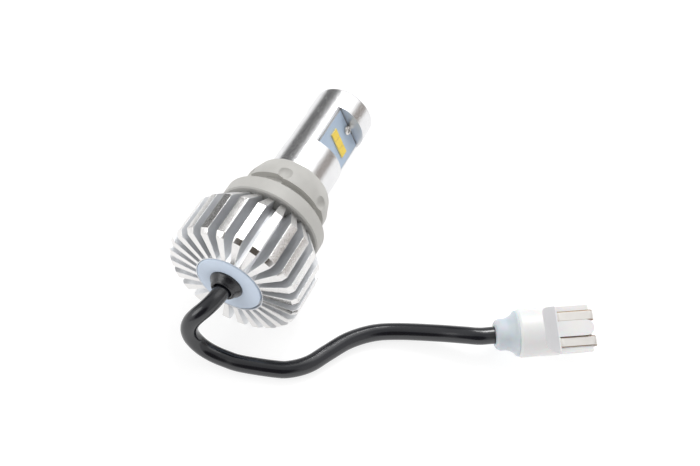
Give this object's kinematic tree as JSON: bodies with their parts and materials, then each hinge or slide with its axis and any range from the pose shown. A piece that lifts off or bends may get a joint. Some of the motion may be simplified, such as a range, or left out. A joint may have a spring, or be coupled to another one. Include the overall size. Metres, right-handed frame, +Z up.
{
  "type": "led headlight bulb",
  "caption": "LED headlight bulb: finned heat-sink tail, turning twist-lock collar, two-sided LED post and a short lead with a wedge plug.",
  "frame": {"origin": "on the bulb's axis, in the plane of the locking collar's seating face", "axes": "+Y along the bulb's axis from the finned tail towards the post's nose, +Z up as the bulb lies on a table with its axis level, +X to the side the lead's plug lies on"},
  "size_m": [0.084, 0.0643, 0.029],
  "materials": {
    "sink_aluminium": "satin",
    "post_aluminium": "polished",
    "board_mask": "satin",
    "led_phosphor": "matte",
    "screw_steel": "satin",
    "wire_red": "satin",
    "wire_black": "satin",
    "collar_plastic": "matte",
    "o_ring_rubber": "matte",
    "cover_blue": "matte",
    "grommet_rubber": "satin",
    "liner_film": "satin",
    "driver_pcb": "satin",
    "package_black": "matte",
    "inductor_ferrite": "matte",
    "capacitor_ceramic": "matte",
    "ferrule_brass": "satin",
    "lead_pvc": "satin",
    "boot_clear": "satin",
    "plug_white": "satin",
    "contact_tin": "satin"
  },
  "bodies": {
    "bulb": {"heat_sink": "sink_aluminium", "lamp_post": "post_aluminium", "led_board_right": "board_mask", "led_board_left": "board_mask", "led_chips_right": "led_phosphor", "led_chips_left": "led_phosphor", "board_screws": "screw_steel", "board_leads_right": "wire_red", "board_leads_left": "wire_black", "collar_o_ring": "o_ring_rubber", "rear_cover": "cover_blue", "cable_grommet": "grommet_rubber", "driver_liner": "liner_film", "driver_board": "driver_pcb", "driver_chip": "package_black", "driver_inductor": "inductor_ferrite", "driver_capacitors": "capacitor_ceramic", "driver_diode": "package_black", "lead_ferrule": "ferrule_brass", "lead_cable": "lead_pvc", "plug_boot": "boot_clear", "plug_body": "plug_white", "plug_contacts": "contact_tin"},
    "collar": {"locking_collar": "collar_plastic"}
  },
  "joints": [
    {"name": "collar_turn", "type": "hinge", "parent": "bulb", "child": "collar", "pos_m": [0, 0, 0], "axis": [0, 1, 0], "continuous": true}
  ]
}
